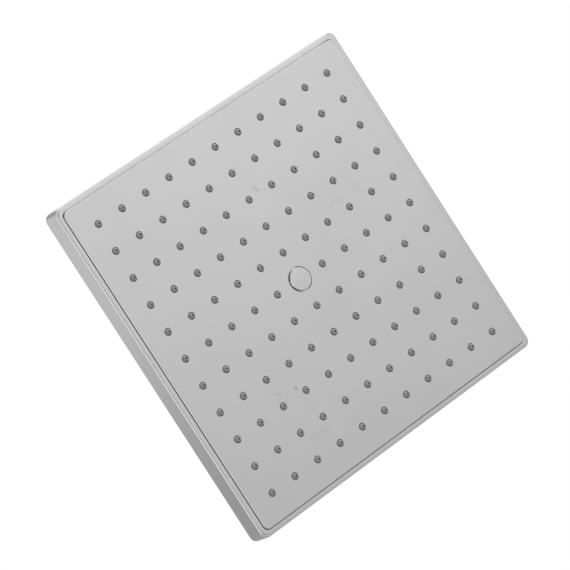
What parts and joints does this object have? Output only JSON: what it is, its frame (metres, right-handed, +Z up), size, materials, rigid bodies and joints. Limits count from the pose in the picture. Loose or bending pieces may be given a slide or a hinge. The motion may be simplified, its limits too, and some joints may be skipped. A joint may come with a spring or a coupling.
{
  "type": "square rain shower head",
  "caption": "Square chrome rain shower head: a thin tray with a nozzle-studded face plate and centre cap, hung from a ball-jointed threaded inlet on its back.",
  "frame": {"origin": "on the inlet's axis, where its thread begins", "axes": "+Z up along the inlet, towards the pipe it hangs from; spray face down; X and Y along the head's sides"},
  "size_m": [0.2, 0.2, 0.0552],
  "materials": {
    "plated_abs": "bright chrome plating on moulded ABS",
    "nozzle_silicone": "moulded grey silicone, satin",
    "chromed_brass": "turned brass, bright chrome plated",
    "bare_brass": "turned, unplated",
    "stainless_steel": "plain stainless steel",
    "black_rubber": "moulded, matt",
    "white_abs": "moulded, unplated",
    "acetal": "moulded, smooth"
  },
  "bodies": {
    "head": {"back_shell": "plated_abs", "face_plate": "plated_abs", "nozzle_mat": "nozzle_silicone", "backing_plate": "white_abs", "backing_screws": "stainless_steel", "chamber_gasket": "black_rubber", "centre_insert": "bare_brass", "centre_seal": "black_rubber", "centre_washer": "stainless_steel", "centre_screw": "stainless_steel", "centre_cap": "plated_abs", "boss_sleeve": "bare_brass", "ball_seal": "black_rubber", "collar_nut": "chromed_brass"},
    "swivel_ring": {"slip_ring": "acetal"},
    "inlet": {"ball_fitting": "chromed_brass", "inlet_washer": "black_rubber", "flow_regulator": "acetal", "regulator_o_ring": "black_rubber", "filter_screen": "stainless_steel"}
  },
  "joints": [
    {"name": "swivel_turn", "type": "hinge", "parent": "head", "child": "swivel_ring", "pos_m": [0, 0, -0.02748], "axis": [0, 0, 1], "continuous": true},
    {"name": "swivel_tilt", "type": "hinge", "parent": "swivel_ring", "child": "inlet", "pos_m": [0, 0, -0.02748], "axis": [1, 0, 0], "range_deg": [-18, 18]}
  ]
}
